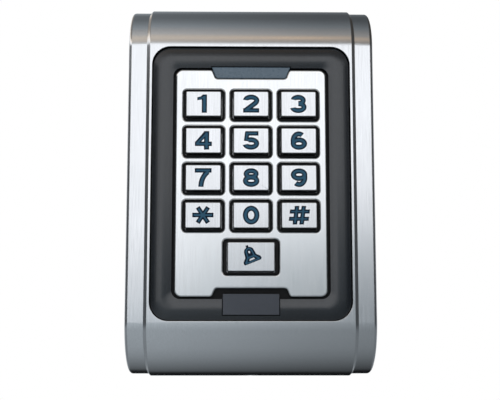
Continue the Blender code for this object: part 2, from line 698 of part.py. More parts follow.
def make_gasket():
    """Rubber ring between the rear cover and the case's ledge."""
    rings = [rounded_rect(RECESS_HALF_W - GAP, RECESS_HALF_H - GAP, 1.7, 3),
             rounded_rect(CAVITY_HALF_W + 0.1, CAVITY_HALF_H + 0.1, 0.6, 3)]
    return finish(extruded("rear_gasket", rings, COVER_FRONT + GAP, LEDGE - GAP), *BLACK_RUBBER)


def make_grommet():
    """Rubber grommet in the rear cover's cable hole."""
    bore, neck, flange = 3.1, 4.7, 6.4
    outline = [(bore, 2.4), (flange - 0.3, 2.4), (flange, 2.6), (flange, 2.9), (neck, 2.9), (neck, 5.5),
               (flange, 5.5), (flange, 6.1), (flange - 0.5, 6.4), (bore, 6.4)]
    return finish(turned("cable_grommet", 0.0, CABLE_Z, outline, 16), *BLACK_RUBBER)


def make_wall_plate():
    """Steel plate with screw slots, cable hole, two top hooks and a bottom tab."""
    edge = 57.8
    outline = rounded_rect(38.2, edge, 2.0, 3)
    slots = [rounded_rect(2.2, 4.5, 2.1, 3, 0, s * WALL_SLOT_Z) for s in (-1, 1)]
    slots += [rounded_rect(4.5, 2.2, 2.1, 3, s * WALL_SLOT_X, -8.0) for s in (-1, 1)]
    slots.append(rounded_rect(9.0, 8.0, 2.0, 3, 0, CABLE_Z))
    slots.append(circle(TAMPER_X, TAMPER_Z, 3.4, 16))
    plate = extruded("wall_plate", [outline] + slots, 0.0, PLATE_THICK)
    tabs = []
    for side in (-1, 1):
        span = (side * 11.5 - 3.5, side * 11.5 + 3.5)
        tabs.append(box(f"ear_{side}", span, (edge - 1.0, 60.2), 0.0, PLATE_THICK))
        tabs.append(box(f"hook_{side}", span, (59.0, 60.2), PLATE_THICK - 0.5, 7.0))
        tabs.append(box(f"hook_tip_{side}", span, (59.5, 61.3), 5.4, 7.0))
    tabs.append(box("bottom_ear", (-6.5, 6.5), (-60.2, 1.0 - edge), 0.0, PLATE_THICK))
    tabs.append(box("bottom_tab", (-6.5, 6.5), (-60.2, -58.9), PLATE_THICK - 0.5, 9.5))
    boolean(plate, tabs, 'UNION')
    bore = cylinder("tab_bore", 0, 0, 1.55, -62.0, -57.0, 16)
    bore.data.transform(Matrix.Translation((0, -SECURITY_DEPTH * SCALE, 0))
                        @ Matrix.Rotation(math.radians(-90), 4, 'X'))
    boolean(plate, [bore])
    return finish(plate, *STEEL)


def make_security_screw():
    """Button-head screw that points up through the case's lower end wall."""
    head_r, shank_r = 2.5, 1.2
    outline = [(0.7, -63.0), (0.7, -63.7), (head_r * 0.7, -63.7), (head_r, -63.2), (head_r, -62.6),
               (shank_r, -62.6), (shank_r, -59.2), (shank_r - 0.4, -58.75), (0.01, -58.75), (0.01, -63.0)]
    screw = turned("security_screw", 0.0, 0.0, outline, 14)
    screw.data.transform(Matrix.Translation((0, -SECURITY_DEPTH * SCALE, 0))
                         @ Matrix.Rotation(math.radians(-90), 4, 'X'))
    return finish(screw, *STEEL)


def make_back_set():
    """Rear cover, gasket, grommet, wall plate and screws."""
    make_rear_cover()
    make_gasket()
    make_grommet()
    corners = [(sx * COVER_SCREW_X, sz * COVER_SCREW_Z) for sx in (-1, 1) for sz in (-1, 1)]
    screw_set("cover_screw", corners, (1.8, COVER_BACK - GAP), 2.6, 13.0, 1.15)
    make_wall_plate()
    make_security_screw()


make_case()
make_bezel()
make_front_set()
make_electronics()
make_back_set()
for part in PARTS.objects:
    part.data.shade_smooth()
    part.data.set_sharp_from_angle(angle=math.radians(35))
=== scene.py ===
import math

import bmesh
import bpy
from mathutils import Euler, Matrix, Vector


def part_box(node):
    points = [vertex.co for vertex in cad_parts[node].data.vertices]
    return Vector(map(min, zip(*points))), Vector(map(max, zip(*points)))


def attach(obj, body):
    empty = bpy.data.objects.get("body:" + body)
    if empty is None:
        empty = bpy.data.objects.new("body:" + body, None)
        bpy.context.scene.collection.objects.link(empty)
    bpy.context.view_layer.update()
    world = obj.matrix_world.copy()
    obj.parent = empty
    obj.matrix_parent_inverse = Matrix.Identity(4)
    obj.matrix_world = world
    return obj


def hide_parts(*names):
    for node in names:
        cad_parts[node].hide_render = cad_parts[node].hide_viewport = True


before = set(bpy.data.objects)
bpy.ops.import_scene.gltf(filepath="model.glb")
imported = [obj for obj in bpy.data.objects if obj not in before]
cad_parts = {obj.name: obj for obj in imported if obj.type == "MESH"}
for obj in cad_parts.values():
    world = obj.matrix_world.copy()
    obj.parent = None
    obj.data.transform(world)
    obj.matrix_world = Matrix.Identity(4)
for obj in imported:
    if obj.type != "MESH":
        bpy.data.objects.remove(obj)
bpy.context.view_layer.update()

# Lengths are millimetres until SCALE; depths are measured forward from the wall (depth d is y = -d)
SCALE = 0.001
READER = "reader"

CASE_LOW, CASE_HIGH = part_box("front_case")
CASE_HALF_W = CASE_HIGH[0] / SCALE
CASE_HALF_H = CASE_HIGH[2] / SCALE
BAND_FRONT = -CASE_LOW[1] / SCALE
CASE_BACK = -CASE_HIGH[1] / SCALE
BAND_HALF_W = 34.9
STRIP_DROP, STRIP_SHORT, STRIP_ROLL = 1.0, 0.7, 0.8     # how much less than the band a strip reaches
STRIP_ROUND = 1.1
# The band's edge as (distance in from its side, drop from its surface)
BAND_EDGE = ((1.2, 0.0), (1.05, 0.02), (0.93, 0.09), (0.1, 0.88), (-0.1, 1.1))
FLAT_HALF_H = 45.9
ROLL_DEPTH = 23.2
CAVITY_HALF_W, CAVITY_HALF_H = 37.2, 57.0
CAVITY_FLAT, CAVITY_FRONT = 46.9, 22.5
LEDGE = 7.0
RECESS_HALF_W, RECESS_HALF_H = 38.8, 58.6
COVER_SCREW_X, COVER_SCREW_Z = 33.6, 53.2
COVER_POST_R, COVER_BORE_R = 3.0, 1.45
COVER_POST, COVER_BORE = (5.5, 19.0), (3.0, 14.0)       # from and to these depths
HOOK_POCKET_W, TAB_POCKET_W = (-17.5, 17.5), (-8.5, 8.5)
OVERRUN = 3.0                   # how far the blanks run behind the wall before they are trimmed
SECURITY_DEPTH = 5.6

# Rounded rectangles are (half width, half height, corner radius), and trapezoids (half width at the
# top, half width at the foot, top, foot)
WINDOW, WINDOW_LIP = (32.95, 45.6, 6.2), 0.15
RING_OUTER = (32.65, 45.3, 5.9)
RING_INNER = (25.95, 38.55, 2.9)
SLAB_OUTLINE, STEP_OUTLINE = (36.0, 47.8, 3.0), (40.0, 52.0, 3.0)
RING_EDGE, RING_CROWN = 24.8, 0.35
SLAB_BACK, SLAB_TOP, FLOOR_TOP, COLLAR_TOP = 21.4, 22.2, 23.2, 24.7
POST_X, POST_Z, POST_BACK = 25.2, 38.5, 16.1
POST_R, POST_BORE_R = 1.8, 1.2
SUNK = 0.4                      # how far the bezel's pieces run into one another before they are joined
SEAT_GAP, PAST_RING = 0.3, 27.0

PLATE_HALF_W, PLATE_HALF_H, PLATE_R = 25.05, 37.85, 2.3
LENS_BACK, LENS_FRONT, LENS_ROUND, LENS_GAP, NOTCH_SOFT = 23.5, 25.0, 0.25, 0.07, 0.8
PLATE_BACK, PLATE_FRONT, PLATE_ROUND = 23.5, 25.2, 0.55
LENS = (13.15, 11.6, 38.75, 34.95)
NOTCH = (11.55, 13.05, -35.1, -38.65)
SENSOR_WINDOW = (9.15, 9.15, -36.9, -43.6)

KEY_PITCH_X, KEY_PITCH_Z, KEY_TOP_ROW = 15.7, 12.36, 25.65
KEY_SIZE, KEY_OPENING = (11.75, 8.55), (13.65, 10.6)
BELL_Z, BELL_SIZE, BELL_OPENING = -24.95, (15.5, 9.6), (18.3, 11.7)
OPENING_R = 1.3
KEY_CLEARANCE, COLLAR_GAP, KEY_CORNER = 0.2, 0.25, 0.4
KEY_FRONT = 27.5
KEY_FLANGE_BACK, KEY_FLANGE_FRONT = 20.0, 21.1
KEY_FLANGE, KEY_DRAFT, KEY_ROUND = 0.85, 0.15, 0.18
ENGRAVING = 0.5
KEY_LAYOUT = (("1", "2", "3"), ("4", "5", "6"), ("7", "8", "9"), ("star", "0", "hash"))

GLYPH_HALF_H = 3.1
STROKE = 1.72
CORE_STROKE = 0.8
STAGGER = 0.004


# ---------------------------------------------------------------- node trees

MIX_FIRST, MIX_SECOND, MIX_RESULT = 6, 7, 2     # a Mix node's sockets when it blends colours


class Shader:
    """A material's node tree with short calls for the nodes that the finishes use."""

    def __init__(self, name):
        self.material = bpy.data.materials.new(name)
        self.material.use_nodes = True
        self.nodes = self.material.node_tree.nodes
        self.links = self.material.node_tree.links
        self.principled = self.nodes["Principled BSDF"]

    def set(self, **values):
        """Set the Principled node's own sockets; underscores stand for spaces."""
        for key, value in values.items():
            self.principled.inputs[key.replace("_", " ")].default_value = value

    def place(self, stretch):
        """Object coordinates, stretched along each axis."""
        coordinates = self.nodes.new("ShaderNodeTexCoord")
        mapping = self.nodes.new("ShaderNodeMapping")
        mapping.inputs["Scale"].default_value = stretch
        self.links.new(coordinates.outputs["Object"], mapping.inputs["Vector"])
        return mapping.outputs["Vector"]

    def noise(self, stretch, scale, detail=3.0, rough=0.55):
        """A noise value on stretched object coordinates."""
        node = self.nodes.new("ShaderNodeTexNoise")
        node.inputs["Scale"].default_value = scale
        node.inputs["Detail"].default_value = detail
        node.inputs["Roughness"].default_value = rough
        self.links.new(self.place(stretch), node.inputs["Vector"])
        return node.outputs["Fac"]

    def spread(self, value, low, high, source=(0.3, 0.7)):
        """Map a value to a range."""
        node = self.nodes.new("ShaderNodeMapRange")
        node.inputs["From Min"].default_value = source[0]
        node.inputs["From Max"].default_value = source[1]
        node.inputs["To Min"].default_value = low
        node.inputs["To Max"].default_value = high
        self.links.new(value, node.inputs["Value"])
        return node.outputs["Result"]

    def ramp(self, value, stops):
        """Map a value to colours given as (position, colour)."""
        node = self.nodes.new("ShaderNodeValToRGB")
        elements = node.color_ramp.elements
        while len(elements) < len(stops):
            elements.new(0.5)
        for element, (position, colour) in zip(elements, stops):
            element.position = position
            element.color = (*colour, 1.0)
        self.links.new(value, node.inputs["Fac"])
        return node.outputs["Color"]

    def mix(self, factor, first, second):
        """Blend two colours, given as sockets or as plain colours."""
        node = self.nodes.new("ShaderNodeMix")
        node.data_type = 'RGBA'
        self.links.new(factor, node.inputs["Factor"])
        for index, colour in ((MIX_FIRST, first), (MIX_SECOND, second)):
            if isinstance(colour, tuple):
                node.inputs[index].default_value = (*colour, 1.0)
            else:
                self.links.new(colour, node.inputs[index])
        return node.outputs[MIX_RESULT]

    def bump(self, height, strength, distance):
        """Add a bump to the surface; calls stack on one another."""
        node = self.nodes.new("ShaderNodeBump")
        node.inputs["Strength"].default_value = strength
        node.inputs["Distance"].default_value = distance
        self.links.new(height, node.inputs["Height"])
        normal = self.principled.inputs["Normal"]
        if normal.is_linked:
            self.links.new(normal.links[0].from_socket, node.inputs["Normal"])
        self.links.new(node.outputs["Normal"], normal)

    def colour(self, socket):
        self.links.new(socket, self.principled.inputs["Base Color"])

    def roughness(self, socket):
        self.links.new(socket, self.principled.inputs["Roughness"])


def shade(base, factor):
    """A lighter or darker shade of a colour."""
    return tuple(min(1.0, c * factor) for c in base)


def brushed_metal(name, base, rough, streak=0.03, anisotropic=0.6):
    """Satin metal with fine brush lines along the height and faint blotches."""
    s = Shader(name)
    s.set(Metallic=1.0, Anisotropic=anisotropic)
    lines = s.noise((1.0, 1.0, 0.02), 5200.0, 2.0)
    threads = s.noise((1.0, 1.0, 0.03), 2600.0, 3.0)
    cloud = s.noise((1.0, 1.0, 0.6), 55.0, 4.0)
    s.colour(s.mix(s.spread(threads, 0.0, 1.0), shade(base, 1.0 - streak), shade(base, 1.0 + streak)))
    both = s.nodes.new("ShaderNodeMath")
    both.operation = 'ADD'
    s.links.new(s.spread(cloud, -0.02, 0.02), both.inputs[0])
    s.links.new(s.spread(lines, rough - 0.04, rough + 0.05), both.inputs[1])
    s.roughness(both.outputs["Value"])
    tangent = s.nodes.new("ShaderNodeCombineXYZ")
    tangent.inputs["X"].default_value = 1.0
    tangent.inputs["Y"].default_value = 0.2
    s.links.new(tangent.outputs["Vector"], s.principled.inputs["Tangent"])
    s.bump(lines, 0.08, 0.00002)
    s.bump(threads, 0.03, 0.00003)
    return s.material


def moulded_plastic(name, base, rough, grain=0.2, pitch=2600.0, specular=0.5, ior=1.5):
    """Moulded plastic: fine spark-eroded grain, faint flow marks."""
    s = Shader(name)
    s.set(IOR=ior, **{"Specular IOR Level": specular})
    flow = s.noise((1.0, 1.0, 0.7), 70.0, 4.0)
    speck = s.noise((1.0, 1.0, 1.0), pitch, 2.0)
    s.colour(s.mix(s.spread(flow, 0.0, 1.0), shade(base, 0.85), shade(base, 1.15)))
    s.roughness(s.spread(speck, rough - 0.06, rough + 0.06))
    s.bump(speck, grain, 0.00004)
    return s.material


def clear_resin(name, base, rough, coat=0.5, specular=0.5):
    """Tinted resin, with faint clouds inside."""
    s = Shader(name)
    s.set(**{"Coat Weight": coat, "Coat Roughness": 0.04, "Specular IOR Level": specular})
    cloud = s.noise((1.0, 1.0, 2.0), 160.0, 3.0)
    s.colour(s.mix(s.spread(cloud, 0.0, 1.0), shade(base, 0.95), shade(base, 1.05)))
    s.roughness(s.spread(s.noise((1.0, 1.0, 1.0), 900.0), rough, rough + 0.08))
    s.bump(cloud, 0.01, 0.0001)
    return s.material


def rubber_finish(name, base):
    """Matte silicone with a dusty bloom."""
    s = Shader(name)
    dust = s.noise((1.0, 1.0, 1.0), 420.0, 5.0, 0.7)
    s.colour(s.ramp(dust, [(0.35, base), (0.75, shade(base, 1.9))]))
    s.roughness(s.spread(dust, 0.62, 0.82))
    s.bump(s.noise((1.0, 1.0, 1.0), 1900.0), 0.15, 0.00005)
    return s.material


def zinc_plating(name, base):
    """Zinc-plated sheet: soft spangle, rolled grain across it."""
    s = Shader(name)
    s.set(Metallic=0.7)
    cells = s.nodes.new("ShaderNodeTexVoronoi")
    cells.inputs["Scale"].default_value = 260.0
    s.links.new(s.place((1.0, 1.0, 1.0)), cells.inputs["Vector"])
    tone = s.nodes.new("ShaderNodeSeparateColor")
    s.links.new(cells.outputs["Color"], tone.inputs["Color"])
    grain = s.noise((0.04, 1.0, 1.0), 2400.0)
    s.colour(s.mix(s.spread(tone.outputs["Red"], 0.0, 1.0, (0.0, 1.0)), shade(base, 0.9), base))
    s.roughness(s.spread(grain, 0.38, 0.52))
    s.bump(grain, 0.08, 0.00003)
    return s.material


def board_finish(name):
    """Green solder mask over copper traces, with the weave of the laminate below."""
    s = Shader(name)
    s.set(**{"Coat Weight": 0.4, "Coat Roughness": 0.15})
    traces = s.nodes.new("ShaderNodeTexBrick")
    traces.inputs["Scale"].default_value = 170.0
    traces.inputs["Mortar Size"].default_value = 0.03
    traces.inputs["Color1"].default_value = (0.012, 0.13, 0.05, 1.0)
    traces.inputs["Color2"].default_value = (0.010, 0.11, 0.045, 1.0)
    traces.inputs["Mortar"].default_value = (0.03, 0.24, 0.09, 1.0)
    turn = s.nodes.new("ShaderNodeMapping")
    turn.inputs["Rotation"].default_value = (math.radians(90), 0.0, 0.0)
    s.links.new(s.place((1.0, 1.0, 1.0)), turn.inputs["Vector"])
    s.links.new(turn.outputs["Vector"], traces.inputs["Vector"])
    s.colour(traces.outputs["Color"])
    weave = s.noise((1.0, 1.0, 1.0), 1500.0)
    s.roughness(s.spread(weave, 0.35, 0.5))
    s.bump(traces.outputs["Fac"], 0.3, 0.00005)
    return s.material


def copper_winding(name):
    """Enamelled copper wire laid in turns."""
    s = Shader(name)
    s.set(Metallic=1.0, **{"Coat Weight": 0.5, "Coat Roughness": 0.1})
    turns = s.nodes.new("ShaderNodeTexWave")
    turns.bands_direction = 'Y'
    turns.inputs["Scale"].default_value = 900.0
    turns.inputs["Distortion"].default_value = 0.6
    s.links.new(s.place((1.0, 1.0, 1.0)), turns.inputs["Vector"])
    s.colour(s.ramp(turns.outputs["Fac"], [(0.1, (0.30, 0.10, 0.03)), (0.8, (0.72, 0.32, 0.13))]))
    s.roughness(s.spread(turns.outputs["Fac"], 0.25, 0.45, (0.0, 1.0)))
    s.bump(turns.outputs["Fac"], 0.6, 0.0001)
    return s.material


CASE_METAL = brushed_metal("case_metal", (0.86, 0.87, 0.89), 0.19, 0.02)
PLATE_METAL = brushed_metal("plate_metal", (0.92, 0.93, 0.94), 0.19, 0.015)
KEY_METAL = brushed_metal("key_metal", (0.88, 0.89, 0.91), 0.22)
RING_PLASTIC = moulded_plastic("ring_plastic", (0.002, 0.004, 0.007), 0.17, 0.1, specular=0.68,
                               ior=1.62)
BEZEL_PLASTIC = moulded_plastic("bezel_plastic", (0.005, 0.005, 0.006), 0.50, specular=0.3)
COVER_PLASTIC = moulded_plastic("cover_plastic", (0.022, 0.022, 0.024), 0.48, 0.3, 1500.0)
LENS_RESIN = clear_resin("lens_resin", (0.055, 0.085, 0.115), 0.25, 0.3)
SMOKED_RESIN = clear_resin("smoked_resin", (0.028, 0.032, 0.042), 0.14)
# Dark legend edge colour: partly the paint's own meniscus, partly painted shade of the engraving's walls
INLAY_MENISCUS_SHADE = clear_resin("inlay_meniscus_shade", (0.003, 0.010, 0.022), 0.5, 0.0, 0.15)
INLAY_BLUE = clear_resin("inlay_blue", (0.018, 0.065, 0.112), 0.5, 0.0, 0.25)
LED_RESIN = clear_resin("led_resin", (0.72, 0.74, 0.70), 0.08)
SENSOR_RESIN = clear_resin("sensor_resin", (0.42, 0.08, 0.04), 0.15)
RUBBER = rubber_finish("silicone_rubber", (0.014, 0.014, 0.016))
COMPONENT = moulded_plastic("component_plastic", (0.03, 0.03, 0.033), 0.5, 0.3, 1800.0)
HEADER = moulded_plastic("header_plastic", (0.74, 0.72, 0.64), 0.45, 0.15, 1200.0)
BOARD = board_finish("board")
COPPER = copper_winding("copper_winding")
ZINC = zinc_plating("zinc_plating", (0.60, 0.62, 0.64))
SCREW_STEEL = brushed_metal("screw_steel", (0.55, 0.55, 0.56), 0.3, 0.06, 0.0)


# --------------------------------------------------------------- shape tools

def radians(*degrees):
    """Several angles in radians."""
    return tuple(math.radians(a) for a in degrees)


def arc(cx, cy, rx, ry, start, end, steps):
    """Points on an elliptical arc; angles in degrees."""
    turn = math.radians(end - start) / steps
    first = math.radians(start)
    return [(cx + rx * math.cos(first + turn * i), cy + ry * math.sin(first + turn * i))
            for i in range(steps + 1)]


def rounded_rect(half_w, half_h, radius, steps=10, cx=0.0, cy=0.0):
    """Outline of a rectangle with round corners, anticlockwise from the upper right corner."""
    points = []
    for quarter, (sx, sy) in enumerate(((1, 1), (-1, 1), (-1, -1), (1, -1))):
        points += arc(cx + sx * (half_w - radius), cy + sy * (half_h - radius),
                      radius, radius, 90 * quarter, 90 * quarter + 90, steps)
    return points


def grown(size, distance):
    """A rounded rectangle's sizes, with the same distance added to each."""
    return tuple(measure + distance for measure in size)


def trapezoid(spec, grow=0.0):
    """Outline of (half width at the top, half width at the foot, top, foot), grown on all sides."""
    top_w, bottom_w, top, bottom = spec
    return [(top_w + grow, top + grow), (-top_w - grow, top + grow),
            (-bottom_w - grow, bottom - grow), (bottom_w + grow, bottom - grow)]


def new_object(name, mesh):
    """Link a mesh object to the scene."""
    obj = bpy.data.objects.new(name, mesh)
    bpy.context.scene.collection.objects.link(obj)
    return obj


def from_cage(name, cage):
    """Turn a bmesh into an object with its faces pointing out."""
    bmesh.ops.recalc_face_normals(cage, faces=cage.faces)
    mesh = bpy.data.meshes.new(name)
    cage.to_mesh(mesh)
    cage.free()
    return new_object(name, mesh)


def extruded(name, loops, low, high, turn=(90, 0, 0)):
    """A flat outline with holes, extruded between two depths in front of the wall."""
    curve = bpy.data.curves.new(name, 'CURVE')
    curve.dimensions = '2D'
    curve.fill_mode = 'BOTH'
    curve.extrude = (high - low) / 2 * SCALE
    for points in loops:
        spline = curve.splines.new('POLY')
        spline.points.add(len(points) - 1)
        for point, (x, y) in zip(spline.points, points):
            point.co = (x * SCALE, y * SCALE, 0.0, 1.0)
        spline.use_cyclic_u = True
    guide = new_object(name, curve)
    rotation = Euler(radians(*turn)).to_matrix().to_4x4()
    place = rotation @ Matrix.Translation((0.0, 0.0, (low + high) / 2 * SCALE))
    bpy.context.view_layer.update()
    source = guide.evaluated_get(bpy.context.evaluated_depsgraph_get())
    mesh = bpy.data.meshes.new_from_object(source)
    bpy.data.objects.remove(guide, do_unlink=True)
    mesh.transform(place)
    cage = bmesh.new()
    cage.from_mesh(mesh)
    bmesh.ops.remove_doubles(cage, verts=cage.verts, dist=1e-7)
    return from_cage(name, cage)


def skin(cage, outlines, closed=False):
    """Faces between outlines of equally many points (x, depth, z); gives back their corners."""
    rows = [[cage.verts.new((x * SCALE, -depth * SCALE, z * SCALE)) for x, depth, z in outline]
            for outline in outlines]
    for lower, upper in zip(rows, rows[1:] + (rows[:1] if closed else [])):
        for i, corner in enumerate(lower):
            cage.faces.new((lower[i - 1], corner, upper[i], upper[i - 1]))
    return rows


def skinned(name, outlines, closed=False):
    """A solid skinned between outlines, capped unless they close up."""
    cage = bmesh.new()
    rows = skin(cage, outlines, closed)
    if not closed:
        cage.faces.new(rows[0])
        cage.faces.new(rows[-1])
    return from_cage(name, cage)


def loft(name, rings, closed, steps=10, centre=(0.0, 0.0)):
    """Skin between rounded-rectangle rings given as (half_w, half_h, radius, depth)."""
    return skinned(name, [[(x, depth, z) for x, z in rounded_rect(*size, steps, *centre)]
                          for *size, depth in rings], closed)


def quarter(radius, steps):
    """Distance in from the side and drop from the top along a rounded edge, from its side to its top."""
    turns = [math.pi / 2 * i / steps for i in range(steps + 1)]
    return [(radius * (1 - math.cos(t)), radius * (1 - math.sin(t))) for t in turns]


def softened(outline, radius, corners):
    """The outline with some of its corners replaced by short curves."""
    points = []
    for i, corner in enumerate(outline):
        if i not in corners:
            points.append(corner)
            continue
        here = Vector(corner)
        before, after = Vector(outline[i - 1]), Vector(outline[(i + 1) % len(outline)])
        start = here + (before - here).normalized() * radius
        end = here + (after - here).normalized() * radius
        for step in range(6):
            t = step / 5
            points.append(tuple(start * (1 - t) ** 2 + here * 2 * t * (1 - t) + end * t ** 2))
    return points


def turned(name, profile, sides, place):
    """A closed (radius, height) outline turned about Z, then placed."""
    cage = bmesh.new()
    rows = []
    for i in range(sides):
        c, s = math.cos(2 * math.pi * i / sides), math.sin(2 * math.pi * i / sides)
        rows.append([cage.verts.new((r * c * SCALE, r * s * SCALE, h * SCALE)) for r, h in profile])
    for row, following in zip(rows, rows[1:] + rows[:1]):
        for i, (r, _) in enumerate(profile):
            if r or profile[i - 1][0]:
                cage.faces.new((row[i - 1], row[i], following[i], following[i - 1]))
    bmesh.ops.remove_doubles(cage, verts=cage.verts, dist=1e-8)
    bmesh.ops.transform(cage, matrix=place, verts=cage.verts)
    return from_cage(name, cage)


def four_places(x, z):
    """The four places at the same distances from the middle."""
    return [(sx * x, sz * z) for sx in (-1, 1) for sz in (-1, 1)]


def cylinder(name, x, z, radius, low, high, sides=48):
    """A cylinder that points forward from the wall."""
    return extruded(name, [arc(x, z, radius, radius, 0, 360, sides)[:-1]], low, high)


def bevelled(obj, width, segments=3, angle=40):
    """Round the sharp edges."""
    modifier = obj.modifiers.new("Round_edges", 'BEVEL')
    modifier.width = width * SCALE
    modifier.segments = segments
    modifier.limit_method = 'ANGLE'
    modifier.angle_limit = math.radians(angle)
    modifier.use_clamp_overlap = True
    return obj


def boolean(target, tools, operation='DIFFERENCE'):
    """Cut or join with exact Booleans; the tools are used up."""
    for tool in tools:
        modifier = target.modifiers.new(operation.title(), 'BOOLEAN')
        modifier.operation = operation
        modifier.solver = 'EXACT'
        modifier.object = tool
    return applied(target, tools)


def applied(obj, tools=()):
    """Replace the modifiers by their result."""
    bpy.context.view_layer.update()
    source = obj.evaluated_get(bpy.context.evaluated_depsgraph_get())
    mesh = bpy.data.meshes.new_from_object(source)
    obj.modifiers.clear()
    obj.data = mesh
    for tool in tools:
        bpy.data.objects.remove(tool, do_unlink=True)
    return obj


def tidy_mesh(obj):
    """Merge the coplanar faces that Booleans leave."""
    cage = bmesh.new()
    cage.from_mesh(obj.data)
    bmesh.ops.remove_doubles(cage, verts=cage.verts, dist=1e-6)
    bmesh.ops.dissolve_degenerate(cage, edges=cage.edges, dist=3e-6)
    bmesh.ops.dissolve_limit(cage, angle_limit=math.radians(0.5), verts=cage.verts, edges=cage.edges)
    cage.to_mesh(obj.data)
    cage.free()
    return obj


def weigh_normals(obj):
    """Keep large faces flat where they meet rounded edges."""
    modifier = obj.modifiers.new("Weighted_normals", 'WEIGHTED_NORMAL')
    modifier.keep_sharp = True


def show(obj, material, slot, body, *nodes, smooth=30):
    """Give a finished piece its material, body and the CAD nodes that it stands for; its slot is not used.
    """
    obj.data.materials.clear()
    obj.data.materials.append(material)
    obj.data.shade_smooth()
    obj.data.set_sharp_from_angle(angle=math.radians(smooth))
    weigh_normals(obj)
    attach(obj, body)
    if nodes:
        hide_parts(*nodes)
    return obj


# ---------------------------------------------------------------------- case

def side_profile(flat_half, end_half, front, roll, low, inset, steps=36):
    """Case outline seen from the side, as (depth, z), with elliptical ends, moved in by an inset."""
    rise = end_half - flat_half
    upper = []
    for i in range(steps + 1):
        c, s = math.cos(math.pi / 2 * i / steps), math.sin(math.pi / 2 * i / steps)
        length = math.hypot(c / roll, s / rise)
        upper.append((front - roll + roll * c - inset * c / roll / length,
                      flat_half + rise * s - inset * s / rise / length))
    lower = [(depth, -z) for depth, z in reversed(upper)]
    return [(low, inset - end_half)] + lower + upper + [(low, end_half - inset)]


def case_blank(name, half_w, *profile, edge=((0.0, 0.0),)):
    """A side profile carried across the case; the edge gives its insets near both ends."""
    ends = [(half_w - across, inset) for across, inset in edge]
    sections = [(-x, inset) for x, inset in reversed(ends)] + ends
    return skinned(name, [[(x, depth, z) for depth, z in side_profile(*profile, inset)]
                          for x, inset in sections])


def box(name, x_span, z_span, low, high):
    """A box from its spans across, up and forward."""
    (x0, x1), (z0, z1) = x_span, z_span
    return extruded(name, [[(x0, z0), (x1, z0), (x1, z1), (x0, z1)]], low, high)


def upright(name, radius, low, high):
    """A vertical cylinder on the security screw's axis."""
    outline = [(0.0, low), (radius, low), (radius, high), (0.0, high)]
    return turned(name, outline, 40, Matrix.Translation((0.0, -SECURITY_DEPTH * SCALE, 0.0)))


def end_wall_pockets():
    """Pockets for the wall plate's hooks and tab, and the security screw's stepped bore."""
    return [box("top_pocket", HOOK_POCKET_W, (RECESS_HALF_H - 0.4, 60.5), -1.0, 9.0),
            box("hook_groove", HOOK_POCKET_W, (60.0, 61.6), 4.5, 9.0),
            box("bottom_pocket", TAB_POCKET_W, (-60.5, 0.4 - RECESS_HALF_H), -1.0, 10.0),
            upright("security_bore", 1.6, -66.0, -60.0),
            upright("counterbore", 2.9, -66.0, -62.3)]


def make_case():
    """The casting: a band with rounded edges between two strips, hollow from the back."""
    case = case_blank("case_shell", CASE_HALF_W, FLAT_HALF_H, CASE_HALF_H - STRIP_SHORT,
                      BAND_FRONT - STRIP_DROP, ROLL_DEPTH - STRIP_ROLL, -OVERRUN,
                      edge=quarter(STRIP_ROUND, 8)[::-1])
    band = case_blank("band", BAND_HALF_W, FLAT_HALF_H, CASE_HALF_H, BAND_FRONT, ROLL_DEPTH,
                      -OVERRUN - 1.0, edge=BAND_EDGE)
    boolean(case, [band], 'UNION')
    rings = [(*WINDOW, 18.0)]
    rings += [(*grown(WINDOW, flare), BAND_FRONT - drop) for flare, drop in quarter(WINDOW_LIP, 6)]
    rings.append((*grown(WINDOW, WINDOW_LIP), BAND_FRONT + 1.0))
    window = loft("window", rings, closed=False)
    cavity = case_blank("cavity", CAVITY_HALF_W, CAVITY_FLAT, CAVITY_HALF_H, CAVITY_FRONT,
                        CAVITY_FRONT - LEDGE, -OVERRUN - 2.0)
    recess = extruded("recess", [rounded_rect(RECESS_HALF_W, RECESS_HALF_H, 2.0)], -OVERRUN - 3.0, LEDGE)
    trim = box("trim", (-50.0, 50.0), (-75.0, 75.0), -OVERRUN - 6.0, CASE_BACK)
    boolean(case, [cavity, recess, window, trim])
    corners = four_places(COVER_SCREW_X, COVER_SCREW_Z)
    boolean(case, [cylinder("post", x, z, COVER_POST_R, *COVER_POST) for x, z in corners], 'UNION')
    bores = [cylinder("post_bore", x, z, COVER_BORE_R, *COVER_BORE, 24) for x, z in corners]
    boolean(case, bores + end_wall_pockets())
    tidy_mesh(case)
    show(case, CASE_METAL, "case_metal", READER, "front_case", smooth=24)


# ------------------------------------------------------------------ front set

def key_places():
    """Name, centre, cap size and opening size of every key."""
    places = []
    for row, labels in enumerate(KEY_LAYOUT):
        for column, label in enumerate(labels):
            places.append((label, (column - 1) * KEY_PITCH_X, KEY_TOP_ROW - row * KEY_PITCH_Z,
                           KEY_SIZE, KEY_OPENING))
    places.append(("bell", 0.0, BELL_Z, BELL_SIZE, BELL_OPENING))
    return places


